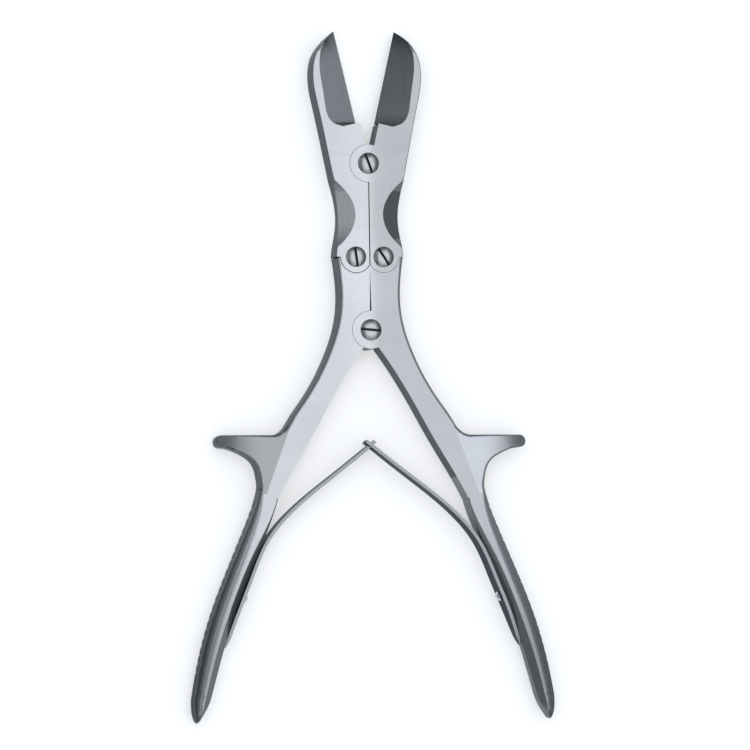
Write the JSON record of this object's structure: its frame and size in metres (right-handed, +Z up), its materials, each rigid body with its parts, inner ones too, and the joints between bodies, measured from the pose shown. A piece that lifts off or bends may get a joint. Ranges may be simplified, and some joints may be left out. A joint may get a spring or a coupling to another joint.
{
  "type": "bone cutting forceps",
  "caption": "Double-action bone cutting forceps: straight hollow-ground blades, compound lever linkage, finger guards and leaf return springs.",
  "frame": {"origin": "on the handle screw's axis at the underside of the handles", "axes": "+Y from the grips to the jaw tips, +Z up out of the screw heads' faces, +X to the right seen from the screw heads"},
  "size_m": [0.1392, 0.2597, 0.0106],
  "materials": {
    "satin_steel": "satin brushed stainless steel",
    "ground_steel": "finely ground stainless steel screws",
    "spring_steel": "polished spring steel"
  },
  "bodies": {
    "left_handle_body": {"left_handle": "satin_steel", "handle_pivot_screw": "ground_steel", "left_link_screw": "ground_steel", "left_spring_rivet": "ground_steel"},
    "right_handle_body": {"right_handle": "satin_steel", "right_link_screw": "ground_steel", "right_spring_rivet": "ground_steel"},
    "left_jaw_body": {"left_jaw": "satin_steel", "jaw_pivot_screw": "ground_steel"},
    "right_jaw_body": {"right_jaw": "satin_steel"},
    "left_spring_body": {"left_spring": "spring_steel"},
    "right_spring_body": {"right_spring": "spring_steel"}
  },
  "joints": [
    {"name": "handle_hinge", "type": "hinge", "parent": "left_handle_body", "child": "right_handle_body", "pos_m": [0, 0, 0.005], "axis": [0, 0, -1], "range_deg": [0, 33.9], "stiffness_Nm_per_rad": 3, "springref_deg": -8.59},
    {"name": "left_link", "type": "hinge", "parent": "left_handle_body", "child": "left_jaw_body", "pos_m": [-0.0053, 0.0275, 0.005], "axis": [0, 0, -1], "range_deg": [0, 29.95]},
    {"name": "right_link", "type": "hinge", "parent": "right_handle_body", "child": "right_jaw_body", "pos_m": [0.0053, 0.0275, 0.005], "axis": [0, 0, 1], "range_deg": [0, 29.95]},
    {"name": "left_spring_flex", "type": "hinge", "parent": "left_handle_body", "child": "left_spring_body", "pos_m": [-0.0422, -0.083, 0.005], "axis": [0, 0, 1], "range_deg": [0, 13.6], "deforming": ["left_spring"]},
    {"name": "right_spring_flex", "type": "hinge", "parent": "right_handle_body", "child": "right_spring_body", "pos_m": [0.0422, -0.083, 0.005], "axis": [0, 0, -1], "range_deg": [0, 13.6], "deforming": ["right_spring"]}
  ],
  "couplings": [
    {"joint": "left_link", "follows": "handle_hinge", "ratio": 0.8825},
    {"joint": "right_link", "follows": "handle_hinge", "ratio": 0.8825},
    {"joint": "left_spring_flex", "follows": "handle_hinge", "ratio": 0.3993},
    {"joint": "right_spring_flex", "follows": "handle_hinge", "ratio": 0.3993}
  ]
}
